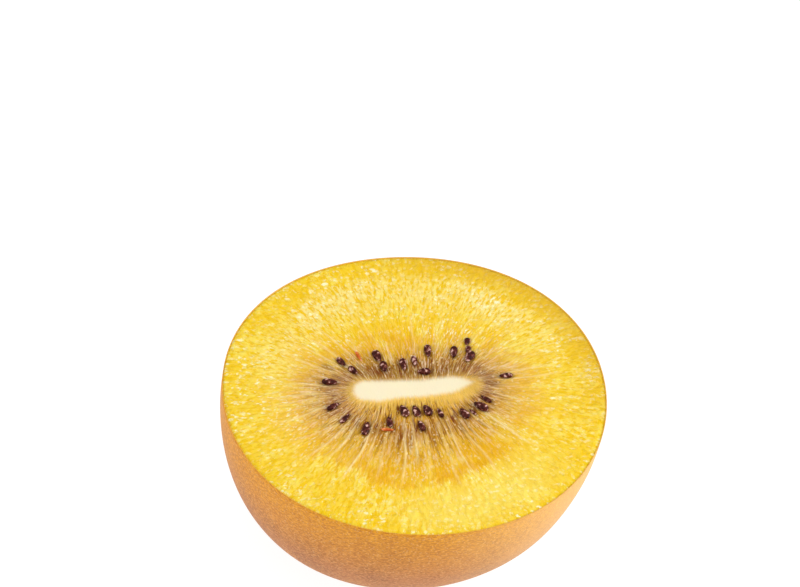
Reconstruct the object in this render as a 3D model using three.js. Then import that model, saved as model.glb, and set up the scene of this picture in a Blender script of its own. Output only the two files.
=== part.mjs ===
// Half of a golden kiwi fruit, cut across its middle and standing on its stem end with the cut
// face up. Skin, flesh, core and seeds grew together, so the half is one solid.
// Millimetres, +Z up. The origin is on the surface it stands on, under the middle of its box.
import * as THREE from "three";

// The cut face: an oval, flat and level.
const FACE_LONG = 52;
const FACE_SHORT = 47.8;
const FACE_TURN = THREE.MathUtils.degToRad(-20); // from +X to the oval's long diameter
const THREE_LOBES = -0.004; // how far the section swells in three places, as a share of its radius
const FOUR_LOBES = -0.008; // and in four places

// The rounded side, from the cut face down to the stem end.
const HEIGHT = 27; // from the surface it stands on to the cut face
const ROUNDNESS = 2.25; // 2 is an ellipse, and more is fuller at the shoulder
const STEM_END_SHIFT = -3.9; // the stem end lies this far along X from under the face's middle
const FLATTENED = 0.6; // the stem end would reach this much lower if it weren't flattened

// The hollow where the stalk sat, in the middle of the flat spot.
const HOLLOW_RADIUS = 3;
const HOLLOW_DEPTH = 1.8;

// How finely the surface is divided.
const SIDES = 72;
const SIDE_STEPS = 22;
const HOLLOW_STEPS = 4;

const FULL_DEPTH = HEIGHT + FLATTENED;
const MEAN_RADIUS = (FACE_LONG + FACE_SHORT) / 4;

// The section's radius at a depth below the cut face, as a share of the face's own radius. Depth
// and radius follow a superellipse of exponent ROUNDNESS.
const radiusShareAt = (depth) => (1 - (depth / FULL_DEPTH) ** ROUNDNESS) ** (1 / ROUNDNESS);

// One side of the half's upright section, from the axis inside the hollow, out and up over the
// rounded side, and back to the axis across the cut face. x is a share of the face's radius.
function profile() {
  const points = [];
  for (let i = 0; i < HOLLOW_STEPS; i++) {
    const angle = (i / HOLLOW_STEPS) * (Math.PI / 2);
    const radius = (HOLLOW_RADIUS / MEAN_RADIUS) * Math.sin(angle);
    points.push(new THREE.Vector2(radius, HOLLOW_DEPTH * Math.cos(angle)));
  }
  points.push(new THREE.Vector2(HOLLOW_RADIUS / MEAN_RADIUS, 0));

  const lastAngle = Math.asin((HEIGHT / FULL_DEPTH) ** (ROUNDNESS / 2));
  for (let i = SIDE_STEPS; i >= 0; i--) {
    const depth = FULL_DEPTH * Math.sin((i / SIDE_STEPS) * lastAngle) ** (2 / ROUNDNESS);
    points.push(new THREE.Vector2(radiusShareAt(depth), HEIGHT - depth));
  }
  points.push(new THREE.Vector2(0, HEIGHT));
  return points;
}

// Squeezes each round section of the lathed solid into the fruit's lobed oval, turns it, and
// slides it along X, by nothing at the cut face and by the full shift at the stem end.
function growIntoShape(geometry) {
  const place = geometry.getAttribute("position");
  for (let i = 0; i < place.count; i++) {
    const angle = Math.atan2(place.getY(i), place.getX(i));
    const share = Math.hypot(place.getX(i), place.getY(i));
    const lobes = 1 + THREE_LOBES * Math.cos(3 * angle) + FOUR_LOBES * Math.sin(4 * angle);
    const along = (FACE_LONG / 2) * share * lobes * Math.cos(angle);
    const across = (FACE_SHORT / 2) * share * lobes * Math.sin(angle);
    const shift = (STEM_END_SHIFT * (HEIGHT - place.getZ(i))) / FULL_DEPTH;
    const x = along * Math.cos(FACE_TURN) - across * Math.sin(FACE_TURN) + shift;
    const y = along * Math.sin(FACE_TURN) + across * Math.cos(FACE_TURN);
    place.setXY(i, x, y);
  }
  geometry.computeVertexNormals();
  return geometry;
}

// Puts the geometry's box over the origin, standing on z = 0.
function standOnOrigin(geometry) {
  geometry.computeBoundingBox();
  const { min, max } = geometry.boundingBox;
  return geometry.translate(-(min.x + max.x) / 2, -(min.y + max.y) / 2, -min.z);
}

function kiwiHalf() {
  const lathed = new THREE.LatheGeometry(profile(), SIDES).rotateX(Math.PI / 2);
  const flesh = new THREE.MeshStandardMaterial({ color: 0xf7c630, roughness: 0.4, metalness: 0 });
  const mesh = new THREE.Mesh(standOnOrigin(growIntoShape(lathed)), flesh);
  mesh.name = "kiwi_half";
  return mesh;
}

const fruit = new THREE.Group();
fruit.name = "golden_kiwi_half";
fruit.add(kiwiHalf());

export default fruit;
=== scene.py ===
import math

import bpy
import numpy as np
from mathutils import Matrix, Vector


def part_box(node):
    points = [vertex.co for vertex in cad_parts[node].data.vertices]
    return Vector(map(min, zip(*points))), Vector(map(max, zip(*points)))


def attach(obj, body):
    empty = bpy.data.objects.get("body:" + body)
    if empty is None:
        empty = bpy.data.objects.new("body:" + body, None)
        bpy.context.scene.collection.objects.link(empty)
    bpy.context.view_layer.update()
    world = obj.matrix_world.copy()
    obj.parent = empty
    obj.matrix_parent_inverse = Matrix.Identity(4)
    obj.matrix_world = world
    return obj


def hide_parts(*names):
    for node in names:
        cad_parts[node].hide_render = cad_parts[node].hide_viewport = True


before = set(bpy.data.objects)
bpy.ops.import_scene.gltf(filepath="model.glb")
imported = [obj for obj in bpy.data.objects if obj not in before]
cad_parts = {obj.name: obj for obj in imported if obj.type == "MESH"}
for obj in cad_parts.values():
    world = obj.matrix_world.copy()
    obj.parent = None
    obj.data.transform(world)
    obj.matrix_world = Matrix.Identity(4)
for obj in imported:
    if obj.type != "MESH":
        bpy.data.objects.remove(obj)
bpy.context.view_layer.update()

# Half of a golden kiwi fruit, cut across its middle and standing on its stem end, with the cut
# face up. Lengths are in millimetres until a mesh is made, and points on the cut face are
# measured from the face's middle, +X to the right and +Y away from the camera.

# ------------------------------------------------------------------------------------------
# Seeds. About thirty hard, flattened, egg-shaped seeds with a pitted, glossy, purple-brown
# coat. Each grew in a wet chamber of the flesh with its pointed end to the core, and the knife
# left it standing half out of the cut.

MM = 0.001
CUT_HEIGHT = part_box("kiwi_half")[1][2] / MM

# The fruit's oval section, as the frame has it: turned, and a little lobed.
FACE_LONG = 52.0
FACE_SHORT = 47.8
FACE_TURN = math.radians(-20)
THREE_LOBES = -0.004
FOUR_LOBES = -0.008
ROUNDNESS = 2.25  # the exponent of the side's superellipse
FULL_DEPTH = CUT_HEIGHT + 0.6  # where the side would close if the stem end weren't flat
STEM_END_SHIFT = -3.9
SKIN_THICKNESS = 0.1


def fruit_section(angle, share, height, inset=0.0):
    """A point on the fruit's level section: the oval's long and short radii, less the inset,
    times the share, times lobes 1 + a cos 3t + b sin 4t, at t round the oval. The oval is
    turned by FACE_TURN, and slides along X by STEM_END_SHIFT times its depth over the full one."""
    lobes = share * (1 + THREE_LOBES * np.cos(3 * angle) + FOUR_LOBES * np.sin(4 * angle))
    along = (FACE_LONG / 2 - inset) * lobes * np.cos(angle)
    across = (FACE_SHORT / 2 - inset) * lobes * np.sin(angle)
    shift = STEM_END_SHIFT * (CUT_HEIGHT - height) / FULL_DEPTH
    x = along * math.cos(FACE_TURN) - across * math.sin(FACE_TURN) + shift
    y = along * math.sin(FACE_TURN) + across * math.cos(FACE_TURN)
    return x, y


def radius_share(depth):
    """The section's radius at a depth below the cut, as a share of the face's own:
    the superellipse (1 - (depth / full depth)^n)^(1/n)."""
    return (1 - (depth / FULL_DEPTH) ** ROUNDNESS) ** (1 / ROUNDNESS)


def face_middle():
    """The cut face's middle in the frame. The sections' lowest and highest X and Y at all
    heights give the shape's own box, and its middle is put at the middle of the frame's box."""
    angle, depth = np.meshgrid(np.linspace(0, 2 * np.pi, 720), np.linspace(0, CUT_HEIGHT, 200))
    x, y = fruit_section(angle, radius_share(depth), CUT_HEIGHT - depth)
    low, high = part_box("kiwi_half")
    own_middle = np.array([x.min() + x.max(), y.min() + y.max()]) / 2
    return (np.array(low[:2]) + np.array(high[:2])) / 2 / MM - own_middle


FACE_X, FACE_Y = face_middle()


def mesh_object(name, points, faces, values=None):
    """A smooth mesh object at the origin, from points in millimetres measured from the face's
    middle, with Z from the floor up. values holds one number, or one vector, for each point."""
    placed = (points + np.array([FACE_X, FACE_Y, 0.0])) * MM
    mesh = bpy.data.meshes.new(name)
    mesh.from_pydata(placed.tolist(), [], faces)
    mesh.validate()
    mesh.shade_smooth()
    for key, numbers in (values or {}).items():
        kind = "FLOAT" if numbers.ndim == 1 else "FLOAT_VECTOR"
        attribute = mesh.attributes.new(key, kind, "POINT")
        attribute.data.foreach_set("value" if numbers.ndim == 1 else "vector", numbers.ravel())
    piece = bpy.data.objects.new(name, mesh)
    bpy.context.scene.collection.objects.link(piece)
    return piece


def ring_faces(number):
    """Quads between the rows of a grid of point numbers whose columns go once round."""
    beside = np.roll(number, -1, axis=1)
    quads = np.stack([number[:-1], beside[:-1], beside[1:], number[1:]], axis=-1)
    return quads.reshape(-1, 4)


# Each seed's place, length, width, turn from +X to its length in degrees, and how far its
# middle stands above the cut.
SEEDS = [
    (-9.8, 5, 1.7, 0.82, -50, 0.07),
    (-8.2, 3.6, 1.6, 0.82, -48, 0.01),
    (-11.3, 1.5, 2.1, 0.94, -5, 0.07),
    (-5, 6, 2, 1.1, -65, 0.10),
    (-4.1, 4.2, 1.8, 0.98, -78, 0.04),
    (-1.5, 4.6, 2, 0.86, -80, 0.07),
    (0, 5.2, 1.7, 0.74, -78, 0.04),
    (1.3, 3.3, 1.7, 1, 2, 0.08),
    (1.8, 6.9, 2.1, 0.94, -85, 0.09),
    (5.3, 6.7, 2, 0.94, 88, 0.08),
    (7.1, 8.6, 1.2, 0.78, 78, 0.02),
    (7.2, 7.2, 1.3, 0.7, 80, -0.01),
    (7.4, 5.9, 1.9, 1.2, 65, 0.11),
    (12.2, 2.6, 1.8, 0.78, 4, 0.08),
    (-10.8, -2.7, 1.9, 0.78, 36, 0.05),
    (-9.2, -4.7, 1.9, 0.66, 52, -0.04),
    (-6.4, -6.5, 2.3, 0.98, 76, 0.09),
    (-3.3, -5.3, 1.8, 0.78, -80, 0.00),
    (-1.4, -3.5, 2, 1.1, -65, 0.10),
    (0.2, -3.5, 1.9, 0.98, -68, 0.09),
    (1.7, -3.4, 1.9, 1.1, -62, 0.10),
    (0.9, -6, 1.8, 0.82, -67, 0.05),
    (3.4, -3.8, 1.6, 0.61, -66, 0.02),
    (6.6, -3.9, 1.9, 0.94, -55, 0.08),
    (7.7, -3.6, 1.2, 0.45, -45, -0.01),
    (8.8, -2.7, 2.2, 1.1, -33, 0.10),
    (9.5, -1.4, 1.8, 0.57, -38, 0.01),
]
# A seed that never ripened, and one that the knife cut open, both orange.
PALE_SEEDS = [
    (-7.5, 6.0, 1.9, 0.42, -65, 0.04),
    (-3.6, -6.7, 1.7, 0.46, -4, 0.10),
]
# Seeds below the cut, that only darken the flesh over them.
SUNK_SEEDS = [
    (-11.6, 4.2, 1.5, 0.7, -25, -1.0),
    (10.4, 1.5, 1.5, 0.6, 0, -1.0),
]
SEED_THICKNESS = 0.78  # a seed's thickness, as a share of its width
SEED_POINT = 0.3  # how much narrower it is towards its pointed end
SEED_DENTS = 0.05  # how deep its broad dents are, as a share of its girth
SEED_SIDES = 24
SEED_STEPS = 16


def seed_surface(round_it, along_it, length, width):
    """An egg lying along X, with u round it and v along it: x is half the length times cos v,
    and the girth at v is half the width times sin v, times 1 - SEED_POINT cos v, flattened
    across Z. Its dents make the girth 1 + SEED_DENTS cos (7u + 5v) cos 9v times as much."""
    girth = width / 2 * np.sin(along_it) * (1 - SEED_POINT * np.cos(along_it))
    dents = 1 + SEED_DENTS * np.cos(7 * round_it + 5 * along_it) * np.cos(9 * along_it)
    x = length / 2 * np.cos(along_it)
    y = girth * dents * np.cos(round_it)
    z = girth * dents * SEED_THICKNESS * np.sin(round_it)
    return x, y, z


def seed_mesh_points(place_x, place_y, length, width, turn, above):
    """One seed's points: its two tips, and the rings between them, turned and put in place."""
    rings = np.arange(1, SEED_STEPS) * np.pi / SEED_STEPS
    sides = np.arange(SEED_SIDES) * 2 * np.pi / SEED_SIDES
    round_it, along_it = np.meshgrid(sides, rings)
    round_it = np.concatenate([[0.0], round_it.ravel(), [0.0]])
    along_it = np.concatenate([[0.0], along_it.ravel(), [np.pi]])
    x, y, z = seed_surface(round_it, along_it, length, width)
    towards = math.radians(turn)
    # The pointed end, at +x, is the one nearer the middle of the face.
    if place_x * math.cos(towards) + place_y * math.sin(towards) > 0:
        towards += math.pi
    turned_x = x * math.cos(towards) - y * math.sin(towards)
    turned_y = x * math.sin(towards) + y * math.cos(towards)
    return np.stack([place_x + turned_x, place_y + turned_y, CUT_HEIGHT + above + z], axis=-1)


def seed_mesh_faces(first):
    """One seed's quads between its rings, and a fan of triangles at each tip."""
    rings = SEED_STEPS - 1
    number = first + 1 + np.arange(rings * SEED_SIDES).reshape(rings, SEED_SIDES)
    last = first + 1 + rings * SEED_SIDES
    beside = np.roll(number, -1, axis=1)
    faces = ring_faces(number)[:, ::-1].tolist()
    faces += np.stack([number[0], beside[0], np.full(SEED_SIDES, first)], axis=-1).tolist()
    faces += np.stack([beside[-1], number[-1], np.full(SEED_SIDES, last)], axis=-1).tolist()
    return faces


seed_points = [seed_mesh_points(*seed) for seed in SEEDS + PALE_SEEDS]
seed_faces = []
for index in range(len(seed_points)):
    seed_faces += seed_mesh_faces(index * len(seed_points[0]))
pale = np.repeat(np.arange(len(seed_points)) >= len(SEEDS), len(seed_points[0]))
seeds = mesh_object(
    "seeds", np.concatenate(seed_points), seed_faces, {"pale": pale.astype(np.float32)}
)


def linear(colour):
    """An sRGB hex colour as the linear numbers that a shader takes."""
    shares = [int(colour[i : i + 2], 16) / 255 for i in (1, 3, 5)]
    return [c / 12.92 if c <= 0.04045 else ((c + 0.055) / 1.055) ** 2.4 for c in shares] + [1.0]


def add(tree, kind, inputs=None, stops=None, **settings):
    """Adds a node to a tree with its settings. An input is linked if it is given a socket, and
    set if it is given a value. stops are a colour ramp's places and colours. Some inputs go by
    number: a Mix node's share is 0, its two values are 2 and 3, and its two colours 6 and 7."""
    node = tree.nodes.new("ShaderNode" + kind)
    for name, value in settings.items():
        setattr(node, name, value)
    for name, value in (inputs or {}).items():
        if isinstance(value, bpy.types.NodeSocket):
            tree.links.new(value, node.inputs[name])
        else:
            node.inputs[name].default_value = value
    for index, (place, colour) in enumerate(stops or []):
        elements = node.color_ramp.elements
        stop = elements[index] if index < 2 else elements.new(place)
        stop.position = place
        stop.color = linear(colour)
    return node


def new_material(name, piece):
    """An empty node material on a piece, and its tree."""
    material = bpy.data.materials.new(name)
    material.use_nodes = True
    material.node_tree.nodes.clear()
    piece.data.materials.append(material)
    return material.node_tree


# Seed coat: hard, thin and smooth like varnished horn, with a net of pits and a film of juice.
# The pits break its highlights into small pale glints. Real pits are about 0.15 mm apart, too
# fine to show, so they are drawn 0.28 mm apart.
tree = new_material("pitted seed coat, wet with juice", seeds)
place = add(tree, "TexCoord").outputs["Object"]
pits = add(
    tree, "TexVoronoi", {"Vector": place, "Scale": 1 / (0.28 * MM)}, feature="SMOOTH_F1"
).outputs["Distance"]
# Purple-brown, with painted highlights: pale glints about 0.5 mm apart, painted into the colour
# where the wet coat would catch the light.
painted_glints = add(
    tree, "TexNoise", {"Vector": place, "Scale": 1 / (0.5 * MM), "Detail": 3.0}
).outputs["Fac"]
dark_coat_and_painted_glints = add(
    tree,
    "ValToRGB",
    {"Fac": painted_glints},
    stops=[(0.4, "#340600"), (0.5, "#4a1004"), (0.57, "#743c30"), (0.65, "#dcb2a6")],
).outputs["Color"]
# Orange for the unripe and the cut seed, with painted highlights at its palest.
pale_coat_and_painted_glints = add(
    tree,
    "ValToRGB",
    {"Fac": painted_glints},
    stops=[(0.35, "#b84a14"), (0.55, "#dc7a30"), (0.7, "#f4c0a0")],
).outputs["Color"]
unripe = add(tree, "Attribute", attribute_name="pale").outputs["Fac"]
colour = add(
    tree, "Mix", {0: unripe, 6: dark_coat_and_painted_glints, 7: pale_coat_and_painted_glints}, data_type="RGBA"
).outputs[2]
bump = add(tree, "Bump", {"Height": pits, "Strength": 0.8, "Distance": 0.09 * MM})
coat = add(
    tree,
    "BsdfPrincipled",
    {
        "Base Color": colour,
        "Roughness": 0.4,
        "IOR": 1.45,
        "Specular IOR Level": 0.18,
        "Normal": bump.outputs["Normal"],
        "Coat Weight": 0.06,
        "Coat Roughness": 0.12,
        "Coat IOR": 1.34,
    },
)
add(tree, "OutputMaterial", {"Surface": coat.outputs["BSDF"]})

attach(seeds, "root")
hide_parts("kiwi_half")

# ------------------------------------------------------------------------------------------
# Flesh, with the core. One soft body that grew round a cream core: first a ring of wet, half
# clear chambers parted by pale walls, then firmer yellow flesh out to the skin. A knife cut it
# level, so its face is flat but for the cells and chambers it opened.

CORE_X, CORE_Y = -0.15, 0.8
CORE_TILT = math.radians(6)
CORE_FOCUS = 8.0  # half the length of the core's middle line
RAY_REACH = FACE_SHORT / 2  # how far the straightest ray runs from the core to the skin
# The core's middle line: distance along it, drift to its side, and half width there.
CORE_LINE = [
    (-6.4, -0.08, 1.50),
    (-4.6, -0.36, 1.60),
    (-2.0, -0.30, 1.32),
    (1.0, -0.48, 1.26),
    (5.0, -0.26, 1.22),
    (6.3, -0.12, 0.74),
    (8.1, -0.10, -0.20),
]
CORE_DISCS = 60
WALLS = 46  # pale walls between the seed chambers
SOONER_ABOVE = 1.25  # how much sooner the yellow flesh starts above the core
SOONER_RIGHT = 0.32  # and at its right end
# How far the knife's level face is raised or sunk by what it cut through.
CHAMBER_DEPTH = 0.10
SEED_HOLLOW = 0.09
WALL_HEIGHT = 0.05
GRAIN_HEIGHT = 0.035
RIM_ROUNDING = 0.12
FACE_COLUMNS = 720
FACE_ROWS = 118
DOME_ROWS = 12
FLESH_INSET = SKIN_THICKNESS + 0.02
FLESH_FLOOR = 2.5  # where the flesh ends below, over the hollow the stalk left


def turn_with_core(along, across):
    """Turns a point from the core's own axes to the face's, and moves it by the core's place."""
    x = CORE_X + along * math.cos(CORE_TILT) - across * math.sin(CORE_TILT)
    y = CORE_Y + along * math.sin(CORE_TILT) + across * math.cos(CORE_TILT)
    return x, y


def ray_point(ray, share):
    """Where a ray is, a share of its way from the core to the skin. The rays leave the core
    square to it and fan out at its ends: they are the hyperbolas whose foci are the core's
    ends, x = sqrt(f^2 + (r s)^2) cos v and y = r s sin v. The ellipse they end on is bent on
    to the rim of the face by the share cubed."""
    reach = RAY_REACH * share
    x, y = turn_with_core(np.sqrt(CORE_FOCUS**2 + reach**2) * np.cos(ray), reach * np.sin(ray))
    end_x, end_y = turn_with_core(
        np.hypot(CORE_FOCUS, RAY_REACH) * np.cos(ray), RAY_REACH * np.sin(ray)
    )
    rim_x, rim_y = fruit_section(rim_angle(ray), 1.0, CUT_HEIGHT, FLESH_INSET)
    bend = share**3
    return x + bend * (rim_x - end_x), y + bend * (rim_y - end_y)


def rim_angle(ray):
    """The angle round the oval at which a ray meets the rim: that of the line from the face's
    middle to the ray's end."""
    end_x, end_y = turn_with_core(
        np.hypot(CORE_FOCUS, RAY_REACH) * np.cos(ray), RAY_REACH * np.sin(ray)
    )
    along = end_x * math.cos(FACE_TURN) + end_y * math.sin(FACE_TURN)
    across = end_y * math.cos(FACE_TURN) - end_x * math.sin(FACE_TURN)
    return np.arctan2(across / FACE_SHORT, along / FACE_LONG)


def gap_to_core(x, y):
    """The distance from a point to the core's edge, below 0 inside it: the least distance to
    any of the discs strung along the core's middle line, less the disc's radius."""
    line = np.array(CORE_LINE)
    at = np.linspace(line[0, 0], line[-1, 0], CORE_DISCS)
    drift = np.interp(at, line[:, 0], line[:, 1])
    radius = np.interp(at, line[:, 0], line[:, 2])
    disc_x, disc_y = turn_with_core(at, drift)
    gap = np.full(x.shape, np.inf)
    for i in range(len(at)):
        gap = np.minimum(gap, np.hypot(x - disc_x[i], y - disc_y[i]) - radius[i])
    return gap


def seed_closeness(x, y):
    """How near a point is to a seed: 1 over the seed and, past its outline, e to the minus
    square of the distance over the stain's reach, whichever seed gives the most."""
    stain_reach = 0.22
    closeness = np.zeros(x.shape)
    for seed_x, seed_y, length, width, turn, _ in SEEDS + SUNK_SEEDS:
        towards = math.radians(turn)
        along = (x - seed_x) * math.cos(towards) + (y - seed_y) * math.sin(towards)
        across = (y - seed_y) * math.cos(towards) - (x - seed_x) * math.sin(towards)
        ring = np.hypot(along / (length / 2), across / (width / 2))
        beyond = np.clip(ring - 1, 0, None) * (length + width) / 4
        closeness = np.maximum(closeness, np.exp(-((beyond / stain_reach) ** 2)))
    return closeness


def ripeness(ray, share):
    """How far through the flesh a point is, from 0 in the core to 1 at the skin. It is the
    share below the core, and 1 - (1 - share)^n where the yellow flesh starts sooner: n is 1,
    plus SOONER_ABOVE sin^2 v above the core, plus SOONER_RIGHT cos^2 v on its right."""
    above = np.clip(np.sin(ray), 0, None) ** 2
    right = np.clip(np.cos(ray), 0, None) ** 2
    return 1 - (1 - share) ** (1 + SOONER_ABOVE * above + SOONER_RIGHT * right)


def step_up(low, high, value):
    """A smooth step from 0 at low to 1 at high."""
    t = np.clip((value - low) / (high - low), 0, 1)
    return t * t * (3 - 2 * t)


def wall_strength(ray, share, width_of_ray):
    """How much of a point is chamber wall: for each wall e to the minus square of the distance
    over its width, times its boldness. The walls are unevenly spaced, waver a little and are
    boldest in front. They are faint beside the core and above it, and end at the firm flesh."""
    wall = np.zeros(ray.shape)
    chance = np.random.default_rng(7)
    for i in range(WALLS):
        centre = 2 * np.pi * (i + chance.uniform(-0.28, 0.28)) / WALLS
        ends = chance.uniform(0.6, 0.86)
        in_front = math.sin(centre) <= -0.6
        boldness = chance.uniform(0.35, 1.0) ** (1.2 if in_front else 3)
        width = chance.uniform(0.11, 0.19)
        waver = 0.012 * np.sin(chance.uniform(9, 16) * share + chance.uniform(0, 6))
        off = np.angle(np.exp(1j * (ray - centre - waver)))
        strength = boldness * np.exp(-((off * width_of_ray / width) ** 2))
        wall = np.maximum(wall, strength * (1 - step_up(ends - 0.2, ends, share)))
    beside_core = 0.3 + 0.7 * step_up(0.25, 0.5, share)
    above_core = 1 - 0.4 * np.clip(np.sin(ray), 0, 1)
    return wall * beside_core * above_core


def flesh_grain(ray, share):
    """Ripples that run with the rays, mostly from -1 to 1: a sum of 40 products of a cosine
    round the face and one along the rays, of many finenesses."""
    chance = np.random.default_rng(11)
    grain = np.zeros(ray.shape)
    for _ in range(40):
        round_it = chance.integers(30, 200)
        along_it = chance.uniform(5, 60)
        phases = chance.uniform(0, 2 * np.pi, 2)
        crosswise = np.cos(round_it * ray + phases[0] + 3 * share)
        grain += crosswise * np.cos(along_it * share + phases[1])
    return grain / 6


def face_relief(ray, share, wall, seed, gap):
    """How far the cut face stands above the knife's level: the grain, less the depth of the wet
    chambers and of the hollow at each seed, plus the walls' height, all of it fading out in the
    core and at the rim, less the rim's rounding, which is the square of a smooth step."""
    through = ripeness(ray, share)
    wet = step_up(0.1, 0.25, through) * (1 - step_up(0.45, 0.75, through))
    outside_core = step_up(-0.3, 0.6, gap)
    inside_rim = 1 - step_up(0.97, 1, share)
    sunk = CHAMBER_DEPTH * wet * (1 - wall) + SEED_HOLLOW * seed
    rough = GRAIN_HEIGHT * flesh_grain(ray, share)
    rounded = RIM_ROUNDING * step_up(0.975, 1.0, share) ** 2
    return outside_core * (rough - sunk + WALL_HEIGHT * wall) * inside_rim - rounded


rays = np.arange(FACE_COLUMNS) * 2 * np.pi / FACE_COLUMNS
ray, share = np.meshgrid(rays, np.linspace(0, 1, FACE_ROWS + 1))
face_x, face_y = ray_point(ray, share)
ray_width = np.hypot(np.gradient(face_x, rays, axis=1), np.gradient(face_y, rays, axis=1))
core_gap = gap_to_core(face_x, face_y)
near_seed = seed_closeness(face_x, face_y)
wall = wall_strength(ray, share, ray_width)
face_z = CUT_HEIGHT + face_relief(ray, share, wall, near_seed, core_gap)
face_points = np.stack([face_x, face_y, face_z], axis=-1)

# Under the skin: from the rim of the face down to the flesh's floor, one ring for each row,
# with the rim's own columns, closed by a point under the middle.
dome_turn = np.linspace(0, math.pi / 2, DOME_ROWS + 1)[1:]
dome_depth = (CUT_HEIGHT - FLESH_FLOOR) * np.sin(dome_turn)
edge_angle = rim_angle(rays)
dome_rings = []
for depth in dome_depth:
    dome_x, dome_y = fruit_section(edge_angle, radius_share(depth), CUT_HEIGHT - depth, FLESH_INSET)
    dome_rings.append(np.stack([dome_x, dome_y, np.full(len(rays), CUT_HEIGHT - depth)], axis=-1))
bottom = dome_rings[-1].mean(axis=0)

# The first row is the core's middle line, where the rays above it and below it meet, so each
# pair of opposite columns shares one point there, and the two end columns their neighbour's.
opposite = -np.arange(FACE_COLUMNS) % FACE_COLUMNS
number = np.arange((FACE_ROWS + 1 + DOME_ROWS) * FACE_COLUMNS).reshape(-1, FACE_COLUMNS)
number[0] = np.minimum(number[0], number[0][opposite])
number[0, 0] = number[0, 1]
number[0, FACE_COLUMNS // 2] = number[0, FACE_COLUMNS // 2 - 1]
used, number = np.unique(number, return_inverse=True)
number = number.reshape(-1, FACE_COLUMNS)
flesh_points = np.concatenate([face_points.reshape(-1, 3), np.concatenate(dome_rings)])[used]
flesh_points = np.concatenate([flesh_points, [bottom]])
flesh_faces = ring_faces(number)[:, ::-1].tolist()
beside = np.roll(number[-1], -1)
middle = np.full(FACE_COLUMNS, len(flesh_points) - 1)
flesh_faces += np.stack([beside, number[-1], middle], axis=-1).tolist()
# Quads that the shared points have closed to a line or a triangle are mended.
flesh_faces = [list(dict.fromkeys(face)) for face in flesh_faces]
flesh_faces = [face for face in flesh_faces if len(face) > 2]


def on_all_points(numbers, below):
    """A value on every point of the flesh, from its grid on the face, with one value below."""
    under = np.full((DOME_ROWS * FACE_COLUMNS,) + numbers.shape[2:], below)
    whole = np.concatenate([numbers.reshape((-1,) + numbers.shape[2:]), under])[used]
    return np.concatenate([whole, whole[-1:]]).astype(np.float32)


# Seen from one wall to the next, the pattern follows the rays, so each point of the face keeps
# its ray, as a cosine and a sine that have no seam, and its share of the way to the skin.
flesh_values = {
    "ray": on_all_points(np.stack([np.cos(ray), np.sin(ray), share], axis=-1), 1.0),
    "through": on_all_points(ripeness(ray, share), 1.0),
    "core_gap": on_all_points(core_gap, 20.0),
    "wall": on_all_points(wall, 0.0),
    "near_seed": on_all_points(near_seed, 0.0),
}
flesh = mesh_object("flesh", flesh_points, flesh_faces, flesh_values)

# Kiwi flesh: mostly juice in thin-walled cells, so light soaks in a millimetre or two and comes
# back yellow. The face was cut, and is wet, with an index between water's and sugar syrup's, so
# it glints a little all over.
tree = new_material("cut golden kiwi flesh, wet", flesh)
place = add(tree, "TexCoord").outputs["Object"]
ray_value = add(tree, "Attribute", attribute_name="ray").outputs["Vector"]
ray_parts = add(tree, "SeparateXYZ", {"Vector": ray_value}).outputs
ray_cosine, ray_sine, share_value = ray_parts["X"], ray_parts["Y"], ray_parts["Z"]
through_value = add(tree, "Attribute", attribute_name="through").outputs["Fac"]
gap_value = add(tree, "Attribute", attribute_name="core_gap").outputs["Fac"]
wall_value = add(tree, "Attribute", attribute_name="wall").outputs["Fac"]
seed_value = add(tree, "Attribute", attribute_name="near_seed").outputs["Fac"]

# Streaks: about 300 round the face, each about 1 mm long.
streak_place = add(
    tree, "VectorMath", {0: ray_value, 1: (50.0, 50.0, 24.0)}, operation="MULTIPLY"
).outputs["Vector"]
streaks = add(
    tree,
    "TexNoise",
    {"Vector": streak_place, "Scale": 1.0, "Detail": 3.0, "Roughness": 0.6, "Distortion": 0.4},
).outputs["Fac"]
# Juice cells: grains about 0.4 mm wide and 0.8 mm long that lie along the rays, pushed out of
# line by a little noise.
drift = add(
    tree, "TexNoise", {"Vector": place, "Scale": 1 / (0.7 * MM), "Detail": 2.0}
).outputs["Color"]
drift = add(tree, "VectorMath", {0: drift, 1: (1.8, 1.8, 1.8)}, operation="MULTIPLY")
cell_place = add(
    tree,
    "VectorMath",
    {0: ray_value, 1: (50.0, 50.0, 30.0), 2: drift.outputs["Vector"]},
    operation="MULTIPLY_ADD",
).outputs["Vector"]
cells = add(
    tree,
    "TexVoronoi",
    {"Vector": cell_place, "Scale": 1.0, "Smoothness": 0.4},
    feature="SMOOTH_F1",
)
# Out near the skin the knife, drawn along X, has dragged them its own way: 0.85 mm by 0.5 mm.
knife_place = add(
    tree,
    "VectorMath",
    {0: place, 1: (1 / (0.85 * MM), 1 / (0.5 * MM), 1 / MM), 2: drift.outputs["Vector"]},
    operation="MULTIPLY_ADD",
).outputs["Vector"]
dragged = add(
    tree,
    "TexVoronoi",
    {"Vector": knife_place, "Scale": 1.0, "Smoothness": 0.4},
    feature="SMOOTH_F1",
)
outer_zone = add(
    tree, "MapRange", {"Value": through_value, "From Min": 0.66, "From Max": 0.84}
).outputs["Result"]
cell_edge = add(
    tree, "Mix", {0: outer_zone, 2: cells.outputs["Distance"], 3: dragged.outputs["Distance"]}
).outputs[0]
cell_colour = add(
    tree,
    "Mix",
    {0: outer_zone, 6: cells.outputs["Color"], 7: dragged.outputs["Color"]},
    data_type="RGBA",
).outputs[2]
cell_lot = add(tree, "SeparateColor", {"Color": cell_colour}).outputs["Red"]
# Threads: the dark and pale bristles of the chambers, about 200 round the core and nearly 3 mm
# long.
thread_place = add(
    tree, "VectorMath", {0: ray_value, 1: (32.0, 32.0, 9.0)}, operation="MULTIPLY"
).outputs["Vector"]
threads = add(
    tree,
    "TexNoise",
    {"Vector": thread_place, "Scale": 1.0, "Detail": 3.0, "Roughness": 0.65, "Distortion": 0.5},
).outputs["Fac"]
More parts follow.
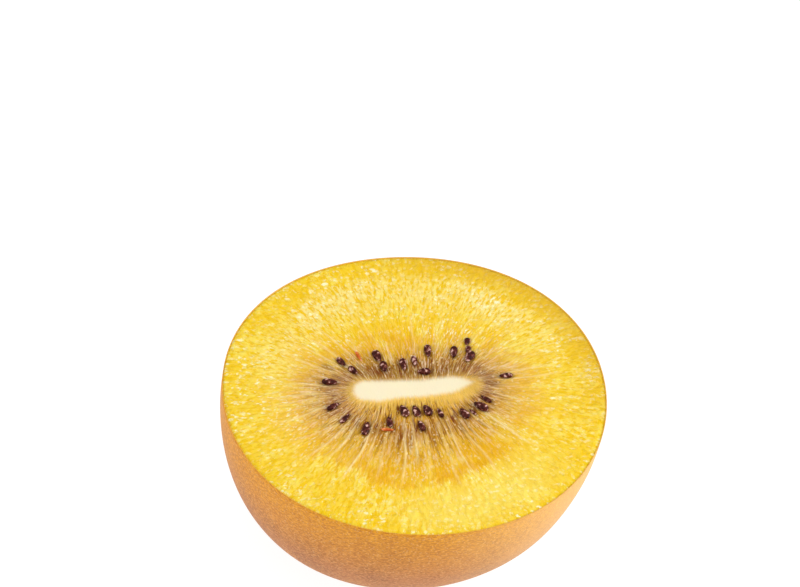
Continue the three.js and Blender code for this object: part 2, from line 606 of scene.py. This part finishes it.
# Dashes: short painted highlights for wet glints along the rays, about 0.3 mm wide and 0.9 mm long.
dash_place = add(
    tree, "VectorMath", {0: ray_value, 1: (60.0, 60.0, 26.0)}, operation="MULTIPLY"
).outputs["Vector"]
dashes = add(
    tree, "TexNoise", {"Vector": dash_place, "Scale": 1.0, "Detail": 1.0, "Distortion": 0.6}
).outputs["Fac"]
# Blotches: patches about 3 mm wide and 6 mm long, as one chamber ripens more than the next.
blotch_place = add(
    tree, "VectorMath", {0: ray_value, 1: (6.0, 6.0, 4.0)}, operation="MULTIPLY"
).outputs["Vector"]
blotches = add(
    tree, "TexNoise", {"Vector": blotch_place, "Scale": 1.0, "Detail": 2.0, "Roughness": 0.55}
).outputs["Fac"]
# Clouds: paler and deeper patches about 5 mm apart, whatever way the rays run.
clouds = add(
    tree, "TexNoise", {"Vector": place, "Scale": 1 / (5 * MM), "Detail": 2.0}
).outputs["Fac"]
# Bubbles: drops of juice about 0.3 mm across and 0.6 mm apart, over half of them left out.
bubbles = add(tree, "TexVoronoi", {"Vector": place, "Scale": 1 / (0.58 * MM)})
bubble_lot = add(tree, "SeparateColor", {"Color": bubbles.outputs["Color"]}).outputs["Red"]

# From the core out: brown in the half clear chambers, then amber, then yellow. The blotches and
# the streaks push each colour in or out.
pushed = add(
    tree, "Math", {0: blotches, 1: 0.20, 2: through_value}, operation="MULTIPLY_ADD"
).outputs["Value"]
pushed = add(
    tree, "Math", {0: streaks, 1: 0.20, 2: pushed}, operation="MULTIPLY_ADD"
).outputs["Value"]
pushed = add(tree, "Math", {0: pushed, 1: 0.20}, operation="SUBTRACT").outputs["Value"]
colour = add(
    tree,
    "ValToRGB",
    {"Fac": pushed},
    stops=[
        (0.10, "#ecb842"),
        (0.20, "#e0a62a"),
        (0.25, "#c88a20"),
        (0.29, "#ac7016"),
        (0.34, "#ac7016"),
        (0.40, "#ca8e22"),
        (0.46, "#d89c22"),
        (0.53, "#dea41a"),
        (0.60, "#e9b01a"),
        (0.68, "#f0bf24"),
        (0.76, "#f3ca36"),
        (0.86, "#f3d03c"),
        (1.00, "#f2ca24"),
    ],
).outputs["Color"]

# Above the core the dark of the chambers starts right at its edge.
above_core = add(tree, "MapRange", {"Value": ray_sine, "From Min": 0.1, "From Max": 0.8})
close_in = add(tree, "MapRange", {"Value": pushed, "From Min": 0.38, "From Max": 0.24})
close_share = add(
    tree,
    "Math",
    {0: above_core.outputs["Result"], 1: close_in.outputs["Result"]},
    operation="MULTIPLY",
).outputs["Value"]

# Firm flesh: paler patches in it, a few millimetres across.
firm = add(
    tree, "MapRange", {"Value": through_value, "From Min": 0.35, "From Max": 0.7, "To Min": 0.15}
).outputs["Result"]
lemon = add(tree, "MapRange", {"Value": blotches, "From Min": 0.48, "From Max": 0.6, "To Max": 0.8})
lemon_share = add(
    tree, "Math", {0: lemon.outputs["Result"], 1: firm}, operation="MULTIPLY"
).outputs["Value"]

# At the back, two thirds of the way out, there are more of them.
paler = add(tree, "MapRange", {"Value": clouds, "From Min": 0.6, "From Max": 0.35, "To Min": 0.35})
back_band = add(
    tree,
    "ValToRGB",
    {"Fac": share_value},
    stops=[(0.54, "#000000"), (0.7, "#ffffff"), (0.78, "#ffffff"), (0.88, "#000000")],
).outputs["Color"]
back_share = add(
    tree, "Math", {0: above_core.outputs["Result"], 1: back_band}, operation="MULTIPLY"
).outputs["Value"]
back_share = add(
    tree, "Math", {0: back_share, 1: paler.outputs["Result"]}, operation="MULTIPLY"
).outputs["Value"]

# Pale cells over them, with deeper yellow between the cells.
pale_lot = add(tree, "MapRange", {"Value": cell_lot, "From Min": 0.1, "From Max": 0.7})
pale_cell = add(tree, "MapRange", {"Value": cell_edge, "From Min": 0.5, "From Max": 0.3})
pale_share = add(
    tree,
    "Math",
    {0: pale_cell.outputs["Result"], 1: pale_lot.outputs["Result"]},
    operation="MULTIPLY",
).outputs["Value"]
pale_share = add(
    tree, "Math", {0: pale_share, 1: paler.outputs["Result"]}, operation="MULTIPLY"
).outputs["Value"]
pale_share = add(tree, "Math", {0: pale_share, 1: firm}, operation="MULTIPLY").outputs["Value"]
between = add(
    tree, "MapRange", {"Value": streaks, "From Min": 0.54, "From Max": 0.4}
).outputs["Result"]
deep_share = add(tree, "Math", {0: between, 1: firm}, operation="MULTIPLY").outputs["Value"]

# Amber patches where the chambers end and the firm flesh starts: clear juice with few cells.
# In front they nearly meet.
ending = add(
    tree,
    "ValToRGB",
    {"Fac": pushed},
    stops=[(0.42, "#000000"), (0.54, "#ffffff"), (0.66, "#ffffff"), (0.71, "#000000")],
).outputs["Color"]
amber = add(tree, "MapRange", {"Value": clouds, "From Min": 0.5, "From Max": 0.6, "To Max": 0.6})
front = add(tree, "MapRange", {"Value": ray_sine, "From Min": -0.55, "From Max": -0.9})
patchy = add(
    tree,
    "MapRange",
    {"Value": clouds, "From Min": 0.44, "From Max": 0.5, "To Min": 0.3, "To Max": 0.9},
)
front_amber = add(
    tree,
    "Math",
    {0: front.outputs["Result"], 1: patchy.outputs["Result"]},
    operation="MULTIPLY",
).outputs["Value"]
amber = add(
    tree, "Math", {0: amber.outputs["Result"], 1: front_amber}, operation="MAXIMUM"
).outputs["Value"]
amber_share = add(tree, "Math", {0: ending, 1: amber}, operation="MULTIPLY").outputs["Value"]

# Painted shade: at the back right the outermost flesh is painted darker and duller, as shade along
# that rim.
back_right = add(
    tree, "VectorMath", {0: ray_value, 1: (0.77, 0.64, 0.0)}, operation="DOT_PRODUCT"
).outputs["Value"]
back_right = add(tree, "MapRange", {"Value": back_right, "From Min": 0.4, "From Max": 0.95})
outermost = add(
    tree, "MapRange", {"Value": share_value, "From Min": 0.8, "From Max": 0.99, "To Max": 0.75}
)
painted_shade_share = add(
    tree,
    "Math",
    {0: back_right.outputs["Result"], 1: outermost.outputs["Result"]},
    operation="MULTIPLY",
).outputs["Value"]

# At the front right the cells hold less colour.
front_right = add(
    tree, "VectorMath", {0: ray_value, 1: (0.34, -0.94, 0.0)}, operation="DOT_PRODUCT"
).outputs["Value"]
front_right = add(tree, "MapRange", {"Value": front_right, "From Min": 0.82, "From Max": 0.98})
pale_band = add(
    tree,
    "ValToRGB",
    {"Fac": through_value},
    stops=[(0.66, "#000000"), (0.78, "#b0b0b0"), (0.92, "#b0b0b0"), (1.0, "#000000")],
).outputs["Color"]
front_share = add(
    tree, "Math", {0: front_right.outputs["Result"], 1: pale_band}, operation="MULTIPLY"
).outputs["Value"]

# Bristles in the chambers, dark between pale threads.
clear = add(
    tree, "MapRange", {"Value": through_value, "From Min": 0.58, "From Max": 0.3}
).outputs["Result"]
# In front the chambers are wide, with few pale threads.
bristly = add(
    tree, "MapRange", {"Value": ray_sine, "From Min": -0.9, "From Max": -0.5, "To Min": 0.5}
).outputs["Result"]
dark = add(tree, "MapRange", {"Value": threads, "From Min": 0.49, "From Max": 0.38, "To Max": 0.92})
dark_share = add(
    tree, "Math", {0: dark.outputs["Result"], 1: clear}, operation="MULTIPLY"
).outputs["Value"]
thready = add(
    tree, "MapRange", {"Value": through_value, "From Min": 0.75, "From Max": 0.4}
).outputs["Result"]
light = add(tree, "MapRange", {"Value": threads, "From Min": 0.54, "From Max": 0.65, "To Max": 0.8})
light_share = add(
    tree, "Math", {0: light.outputs["Result"], 1: thready}, operation="MULTIPLY"
).outputs["Value"]
light_share = add(tree, "Math", {0: light_share, 1: bristly}, operation="MULTIPLY").outputs["Value"]

# At the core's two ends the chambers are greyer, a little mauve, and reach further out.
towards_end = add(tree, "Math", {0: ray_cosine, 1: 0.0}, operation="ABSOLUTE").outputs["Value"]
towards_end = add(tree, "MapRange", {"Value": towards_end, "From Min": 0.72, "From Max": 0.95})
paler_band = add(
    tree,
    "ValToRGB",
    {"Fac": pushed},
    stops=[(0.32, "#000000"), (0.46, "#5c5c5c"), (0.62, "#5c5c5c"), (0.8, "#000000")],
).outputs["Color"]
haze_share = add(
    tree, "Math", {0: towards_end.outputs["Result"], 1: paler_band}, operation="MULTIPLY"
).outputs["Value"]
mauve_share = add(
    tree, "Math", {0: towards_end.outputs["Result"], 1: clear}, operation="MULTIPLY"
).outputs["Value"]
mauve_share = add(tree, "Math", {0: mauve_share, 1: 0.22}, operation="MULTIPLY").outputs["Value"]

# The chamber walls, made fainter here and there by the streaks.
broken = add(
    tree, "MapRange", {"Value": streaks, "From Min": 0.35, "From Max": 0.6, "To Min": 0.6}
).outputs["Result"]
wall_share = add(tree, "Math", {0: wall_value, 1: broken}, operation="MULTIPLY").outputs["Value"]

# Juice stained by a seed, and the dark of the seed's chamber.
seed_share = add(tree, "Math", {0: seed_value, 1: 0.42}, operation="MULTIPLY").outputs["Value"]

# Bubbles and dashes are painted pale cream, mostly in and just past the chambers: partly the pale
# drops themselves, partly painted highlights for the glints of the wet cut.
bubbly = add(
    tree,
    "ValToRGB",
    {"Fac": through_value},
    stops=[(0.2, "#a0a0a0"), (0.35, "#ffffff"), (0.46, "#ffffff"), (0.6, "#606060")],
).outputs["Color"]
pale_drop_and_glint = add(
    tree, "MapRange", {"Value": bubbles.outputs["Distance"], "From Min": 0.34, "From Max": 0.14}
)
drop_lot = add(tree, "Math", {0: bubble_lot, 1: 0.56}, operation="GREATER_THAN").outputs["Value"]
pale_drop_and_glint = add(
    tree, "Math", {0: pale_drop_and_glint.outputs["Result"], 1: drop_lot}, operation="MULTIPLY"
).outputs["Value"]
painted_glint_dash = add(
    tree, "MapRange", {"Value": dashes, "From Min": 0.58, "From Max": 0.72}
).outputs["Result"]
pale_drop_and_glint = add(tree, "Math", {0: pale_drop_and_glint, 1: painted_glint_dash}, operation="MAXIMUM").outputs["Value"]
pale_drop_and_glint_share = add(tree, "Math", {0: pale_drop_and_glint, 1: bubbly}, operation="MULTIPLY").outputs["Value"]
pale_drop_and_glint_share = add(tree, "Math", {0: pale_drop_and_glint_share, 1: 0.65}, operation="MULTIPLY").outputs["Value"]

# The core is cream white, frayed by the threads. It fades over a millimetre into a yellow glow,
# which ends 1.7 mm past the core's edge, and 0.9 mm further out at the lower right. Above the
# core the glow is faint.
fray = add(
    tree, "Math", {0: threads, 1: 0.9, 2: gap_value}, operation="MULTIPLY_ADD"
).outputs["Value"]
right_below = add(
    tree, "VectorMath", {0: ray_value, 1: (0.8, -0.6, 0.0)}, operation="DOT_PRODUCT"
).outputs["Value"]
right_below = add(tree, "MapRange", {"Value": right_below, "From Min": 0.75, "From Max": 1.0})
glow_gap = add(
    tree,
    "Math",
    {0: right_below.outputs["Result"], 1: -0.9, 2: fray},
    operation="MULTIPLY_ADD",
).outputs["Value"]
glow = add(
    tree,
    "MapRange",
    {"Value": glow_gap, "From Min": 2.1, "From Max": 0.6, "To Max": 0.85},
    interpolation_type="SMOOTHSTEP",
).outputs["Result"]
below_core = add(
    tree, "MapRange", {"Value": ray_sine, "From Min": 0.9, "From Max": 0.2, "To Min": 0.3}
)
glow_share = add(
    tree, "Math", {0: glow, 1: below_core.outputs["Result"]}, operation="MULTIPLY"
).outputs["Value"]
cream_share = add(
    tree,
    "MapRange",
    {"Value": fray, "From Min": 1.1, "From Max": 0.1},
    interpolation_type="SMOOTHSTEP",
).outputs["Result"]

# Each of these colours is laid over the ones before it, by its share.
layers = [
    (close_share, "#8c520c"),
    (lemon_share, "#f6dc5a"),
    (back_share, "#fae692"),
    (pale_share, "#fcf6c6"),
    (deep_share, "#edc000"),
    (amber_share, "#e6aa00"),
    # painted shade along the back right rim
    (painted_shade_share, "#d8a824"),
    (front_share, "#f6df6a"),
    (dark_share, "#763006"),
    (light_share, "#fbdcb8"),
    (haze_share, "#f6d48e"),
    (mauve_share, "#cc9c7c"),
    (wall_share, "#fbe4a8"),
    (seed_share, "#6a2e08"),
    # pale drops with painted highlights for the wet glints
    (pale_drop_and_glint_share, "#fbe2ae"),
    (glow_share, "#f5c75a"),
    (cream_share, "#f2e5c2"),
]
for layer_share, shade in layers:
    colour = add(
        tree, "Mix", {0: layer_share, 6: colour, 7: linear(shade)}, data_type="RGBA"
    ).outputs[2]

# The opened cells, streaks and drops are rough, the core hardly.
uneven = add(
    tree, "Math", {0: streaks, 1: 1.2, 2: cell_edge}, operation="MULTIPLY_ADD"
).outputs["Value"]
uneven = add(tree, "Math", {0: pale_drop_and_glint_share, 1: 0.6, 2: uneven}, operation="MULTIPLY_ADD")
outside_core = add(
    tree, "MapRange", {"Value": gap_value, "From Min": -0.5, "From Max": 0.8, "To Min": 0.15}
).outputs["Result"]
bump = add(
    tree,
    "Bump",
    {"Height": uneven.outputs["Value"], "Strength": outside_core, "Distance": 0.16 * MM},
).outputs["Normal"]
flesh_shader = add(
    tree,
    "BsdfPrincipled",
    {
        "Base Color": colour,
        "Roughness": 0.22,
        "IOR": 1.36,
        "Specular IOR Level": 0.22,
        "Normal": bump,
        "Subsurface Weight": 0.2,
        "Subsurface Radius": (1.0, 0.6, 0.18),
        "Subsurface Scale": 1.6 * MM,
        "Coat Weight": 0.18,
        "Coat Roughness": 0.06,
        "Coat IOR": 1.34,
    },
)
add(tree, "OutputMaterial", {"Surface": flesh_shader.outputs["BSDF"]})

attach(flesh, "root")
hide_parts("kiwi_half")

# ------------------------------------------------------------------------------------------
# Skin. A thin, dry, brown peel grown on to the flesh, with pale corky specks and hardly any
# hair. At the stem end it stops at the scar, a rough ring round the hollow the stalk left.

SKIN_COLUMNS = 360
SKIN_ROWS = 90
FLAT_ROWS = 12
HOLLOW_ROWS = 14
HOLLOW_RADIUS = 3.0
HOLLOW_DEPTH = 1.8
SCAR_FADES = 6 / 26  # the share of the face's radius at which the scar's folds start to fade
SCAR_ENDS = 6 / 20  # and at which they are gone
FOLD_HEIGHT = 0.08
SWELLING = 0.05


def skin_profile(inset):
    """The skin's upright section from the cut down to the middle of the hollow: a share of the
    face's radius, and a height. The side is the superellipse, down to the flat stem end, and the
    hollow is a quarter of an ellipse. The inset moves it inwards by the skin's thickness."""
    mean_radius = (FACE_LONG + FACE_SHORT) / 4
    last = math.asin((CUT_HEIGHT / FULL_DEPTH) ** (ROUNDNESS / 2))
    turn = np.linspace(0, last, SKIN_ROWS)
    depth = FULL_DEPTH * np.sin(turn) ** (2 / ROUNDNESS)
    side_share = radius_share(depth)
    flat_share = np.linspace(side_share[-1], HOLLOW_RADIUS / mean_radius, FLAT_ROWS)[1:]
    hollow_turn = np.linspace(math.pi / 2, 0, HOLLOW_ROWS)[1:]
    hollow_share = HOLLOW_RADIUS / mean_radius * np.sin(hollow_turn)
    share = np.concatenate([side_share, flat_share, hollow_share])
    height = np.concatenate(
        [CUT_HEIGHT - depth, np.zeros(len(flat_share)), HOLLOW_DEPTH * np.cos(hollow_turn)]
    )
    # The inner wall: the outer one, moved along its normal.
    radius = share * mean_radius
    slope = np.hypot(np.gradient(radius), np.gradient(height))
    share_in = share + inset * np.gradient(height) / slope / mean_radius
    height_in = height - inset * np.gradient(radius) / slope
    share_in[-1] = 0.0
    height_in[0] = CUT_HEIGHT
    share_in[0] = 1 - inset / mean_radius
    return np.clip(share_in, 0, None), height_in


def skin_relief(angle, share, height):
    """How far the skin stands out from the smooth shape. The side has faint swellings, that die
    out at the cut and low down: SWELLING cos (3t + 0.2z) cos 0.35z, at t round it and height z.
    The scar and the hollow have folds: FOLD_HEIGHT (cos (17t + 30s) cos 80s + 0.6 cos 29t), at
    the share s of the radius."""
    scar = 1 - step_up(SCAR_FADES, SCAR_ENDS, share)
    low = 1 - step_up(0.0, 3.0, height)
    folds = np.cos(17 * angle + 30 * share) * np.cos(80 * share) + 0.6 * np.cos(29 * angle)
    swell = SWELLING * np.cos(3 * angle + 0.2 * height) * np.cos(0.35 * height)
    below_cut = step_up(0, 6, CUT_HEIGHT - height)
    return swell * below_cut * (1 - low) + FOLD_HEIGHT * folds * scar * low


def skin_rings(inset):
    """The points of one wall of the skin, as rows of rings from the cut to the hollow. The
    relief is divided by 25 mm, close to the face's mean radius, to make it a share of it."""
    share, height = skin_profile(inset)
    angle = np.arange(SKIN_COLUMNS) * 2 * np.pi / SKIN_COLUMNS
    angle, share = np.meshgrid(angle, share)
    height = np.repeat(height[:, None], SKIN_COLUMNS, axis=1)
    x, y = fruit_section(angle, share + skin_relief(angle, share, height) / 25, height)
    return np.stack([x, y, np.clip(height, 0, None) if inset == 0 else height], axis=-1)


outer, inner = skin_rings(0.0), skin_rings(SKIN_THICKNESS)
rows = len(outer) - 1
# The last row of each wall is one point, in the middle of the hollow.
skin_points = np.concatenate(
    [outer[:-1].reshape(-1, 3), inner[:-1].reshape(-1, 3), [outer[-1, 0]], [inner[-1, 0]]]
)
outer_number = np.arange(rows * SKIN_COLUMNS).reshape(rows, SKIN_COLUMNS)
inner_number = outer_number + rows * SKIN_COLUMNS
outer_middle = 2 * rows * SKIN_COLUMNS
skin_faces = ring_faces(outer_number)[:, ::-1].tolist()
skin_faces += ring_faces(inner_number).tolist()
skin_faces += ring_faces(np.stack([outer_number[0], inner_number[0]])).tolist()
beside = np.roll(outer_number[-1], -1)
skin_faces += [[b, a, outer_middle] for a, b in zip(outer_number[-1].tolist(), beside.tolist())]
beside = np.roll(inner_number[-1], -1)
skin_faces += [[a, b, outer_middle + 1] for a, b in zip(inner_number[-1].tolist(), beside.tolist())]
inside = np.concatenate([np.zeros(outer_middle // 2), np.ones(outer_middle // 2), [0, 1]])
skin = mesh_object("skin", skin_points, skin_faces, {"inside": inside.astype(np.float32)})

# Kiwi skin: dry cork over a thin hide, dull and a little velvety, with pale raised specks.
tree = new_material("kiwi skin, dry with corky specks", skin)
place = add(tree, "TexCoord").outputs["Object"]
specks = add(
    tree, "TexVoronoi", {"Vector": place, "Scale": 1 / (0.42 * MM)}
).outputs["Distance"]
speck_share = add(
    tree, "MapRange", {"Value": specks, "From Min": 0.34, "From Max": 0.16}
).outputs["Result"]
# The grain runs round the fruit: it is twice as fine up the side as round it.
flat_place = add(
    tree, "VectorMath", {0: place, 1: (1.0, 1.0, 2.2)}, operation="MULTIPLY"
).outputs["Vector"]
mottle = add(
    tree,
    "TexNoise",
    {"Vector": flat_place, "Scale": 1 / (0.45 * MM), "Detail": 3.0, "Roughness": 0.7},
).outputs["Fac"]
patches = add(
    tree, "TexNoise", {"Vector": place, "Scale": 1 / (7 * MM), "Detail": 3.0}
).outputs["Fac"]
brown = add(
    tree,
    "ValToRGB",
    {"Fac": patches},
    stops=[(0.35, "#924a0a"), (0.5, "#a45814"), (0.65, "#b66a28")],
).outputs["Color"]
mottle_share = add(
    tree, "MapRange", {"Value": mottle, "From Min": 0.4, "From Max": 0.62, "To Max": 0.9}
).outputs["Result"]
# Painted light: just under the cut the skin is painted golden, for the glow of the golden flesh
# shining through it.
height = add(tree, "SeparateXYZ", {"Vector": place}).outputs["Z"]
painted_glow_share = add(
    tree, "MapRange", {"Value": height, "From Min": 15 * MM, "From Max": 26 * MM, "To Max": 0.95}
).outputs["Result"]
darker = add(
    tree, "Mix", {0: painted_glow_share, 6: brown, 7: linear("#c47600")}, data_type="RGBA"
).outputs[2]
lighter = add(
    tree, "Mix", {0: painted_glow_share, 6: linear("#d68f4e"), 7: linear("#f2a80c")}, data_type="RGBA"
).outputs[2]
colour = add(
    tree, "Mix", {0: mottle_share, 6: darker, 7: lighter}, data_type="RGBA"
).outputs[2]
speck_part = add(tree, "Math", {0: speck_share, 1: 0.4}, operation="MULTIPLY").outputs["Value"]
colour = add(
    tree, "Mix", {0: speck_part, 6: colour, 7: linear("#f4c27a")}, data_type="RGBA"
).outputs[2]
# Painted light: the right side is painted paler, for the strong light that falls on it from the
# right.
painted_light_right = add(tree, "SeparateXYZ", {"Vector": place}).outputs["X"]
painted_light_right = add(
    tree, "MapRange", {"Value": painted_light_right, "From Min": 3 * MM, "From Max": 20 * MM, "To Max": 0.45}
).outputs["Result"]
colour = add(
    tree, "Mix", {0: painted_light_right, 6: colour, 7: linear("#e6c280")}, data_type="RGBA"
).outputs[2]
# The inner side is stained yellow by the flesh.
inside_value = add(tree, "Attribute", attribute_name="inside").outputs["Fac"]
colour = add(
    tree, "Mix", {0: inside_value, 6: colour, 7: linear("#ecb83a")}, data_type="RGBA"
).outputs[2]
raised = add(
    tree, "Math", {0: mottle, 1: 0.6, 2: speck_share}, operation="MULTIPLY_ADD"
).outputs["Value"]
bump = add(tree, "Bump", {"Height": raised, "Strength": 0.6, "Distance": 0.06 * MM})
skin_shader = add(
    tree,
    "BsdfPrincipled",
    {
        "Base Color": colour,
        "Roughness": 0.6,
        "IOR": 1.45,
        "Normal": bump.outputs["Normal"],
        "Sheen Weight": 0.05,
        "Sheen Roughness": 0.4,
        "Sheen Tint": linear("#f6d9b8"),
    },
)
add(tree, "OutputMaterial", {"Surface": skin_shader.outputs["BSDF"]})

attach(skin, "root")
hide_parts("kiwi_half")

# ------------------------------------------------------------------------------------------
# Floor. A plain sheet of matt white acrylic, lit from below until it is plain white, as under a
# product shot, and larger than any view takes in.

FLOOR_HALF = 2500.0
corners = FLOOR_HALF * np.array([[-1, -1, 0], [1, -1, 0], [1, 1, 0], [-1, 1, 0]], dtype=float)
floor = mesh_object("floor", corners, [[0, 1, 2, 3]])
tree = new_material("matt white acrylic, lit from below", floor)
acrylic = add(
    tree,
    "BsdfPrincipled",
    {
        "Base Color": linear("#808080"),
        "Roughness": 0.8,
        "IOR": 1.5,
        "Emission Color": linear("#ffffff"),
        "Emission Strength": 0.88,
    },
)
add(tree, "OutputMaterial", {"Surface": acrylic.outputs["BSDF"]})

# ------------------------------------------------------------------------------------------
# Light. A white room, a wide softbox high in front, one low at each side, the right one the
# brighter, and a small lamp high behind, whose reflection glints in the wet cells.

world = bpy.data.worlds.new("white room")
world.use_nodes = True
world.node_tree.nodes.clear()
# It lights the fruit softly, but is seen as plain white.
seen = add(world.node_tree, "LightPath").outputs["Is Camera Ray"]
seen = add(world.node_tree, "MapRange", {"Value": seen, "To Min": 0.55})
sky = add(
    world.node_tree,
    "Background",
    {"Color": (1.0, 1.0, 1.0, 1.0), "Strength": seen.outputs["Result"]},
)
add(world.node_tree, "OutputWorld", {"Surface": sky.outputs["Background"]})
bpy.context.scene.world = world
bpy.context.scene.view_settings.view_transform = "Standard"


def softbox(name, azimuth, elevation, distance, size, power):
    """A square light that looks at the cut face. Azimuth 0 is at -Y and 90 at +X, and elevation
    is above the horizon, both in degrees. The distance and the size are in metres, and the power
    is in watts."""
    lamp = bpy.data.lights.new(name, "AREA")
    lamp.size = size
    lamp.energy = power
    box = bpy.data.objects.new(name, lamp)
    a, e = math.radians(azimuth), math.radians(elevation)
    towards = Vector((math.sin(a) * math.cos(e), -math.cos(a) * math.cos(e), math.sin(e)))
    box.location = towards * distance + Vector((0, 0, CUT_HEIGHT * MM))
    box.rotation_euler = towards.to_track_quat("Z", "Y").to_euler()
    bpy.context.scene.collection.objects.link(box)


softbox("softbox above", 30, 72, 0.6, 0.4, 1.1)
softbox("softbox right", 85, 14, 0.6, 0.35, 2.8)
softbox("softbox left", -80, 22, 0.6, 0.35, 1.05)
softbox("glint lamp behind", 176, 66, 0.6, 0.08, 0.25)

# ------------------------------------------------------------------------------------------
# Camera. It looks down at the cut face from the front.

CAMERA_DISTANCE = 450.0
CAMERA_ELEVATION = math.radians(48.73)
CAMERA_RIGHT = -1.93  # how far the camera's axis passes to the right of the face's middle
CAMERA_UP = 12.92  # and above it
camera = bpy.data.objects.new("camera", bpy.data.cameras.new("camera"))
camera.data.lens = 152.4
camera.data.sensor_width = 36
camera.data.clip_start = 0.01
camera.data.clip_end = 20
back = Vector((0, -math.cos(CAMERA_ELEVATION), math.sin(CAMERA_ELEVATION)))
up = Vector((0, math.sin(CAMERA_ELEVATION), math.cos(CAMERA_ELEVATION)))
face_at = Vector((FACE_X, FACE_Y, CUT_HEIGHT))
aim = face_at + up * CAMERA_UP + Vector((CAMERA_RIGHT, 0, 0))
camera.location = (aim + back * CAMERA_DISTANCE) * MM
camera.rotation_euler = (math.pi / 2 - CAMERA_ELEVATION, 0, 0)
bpy.context.scene.collection.objects.link(camera)
bpy.context.scene.camera = camera
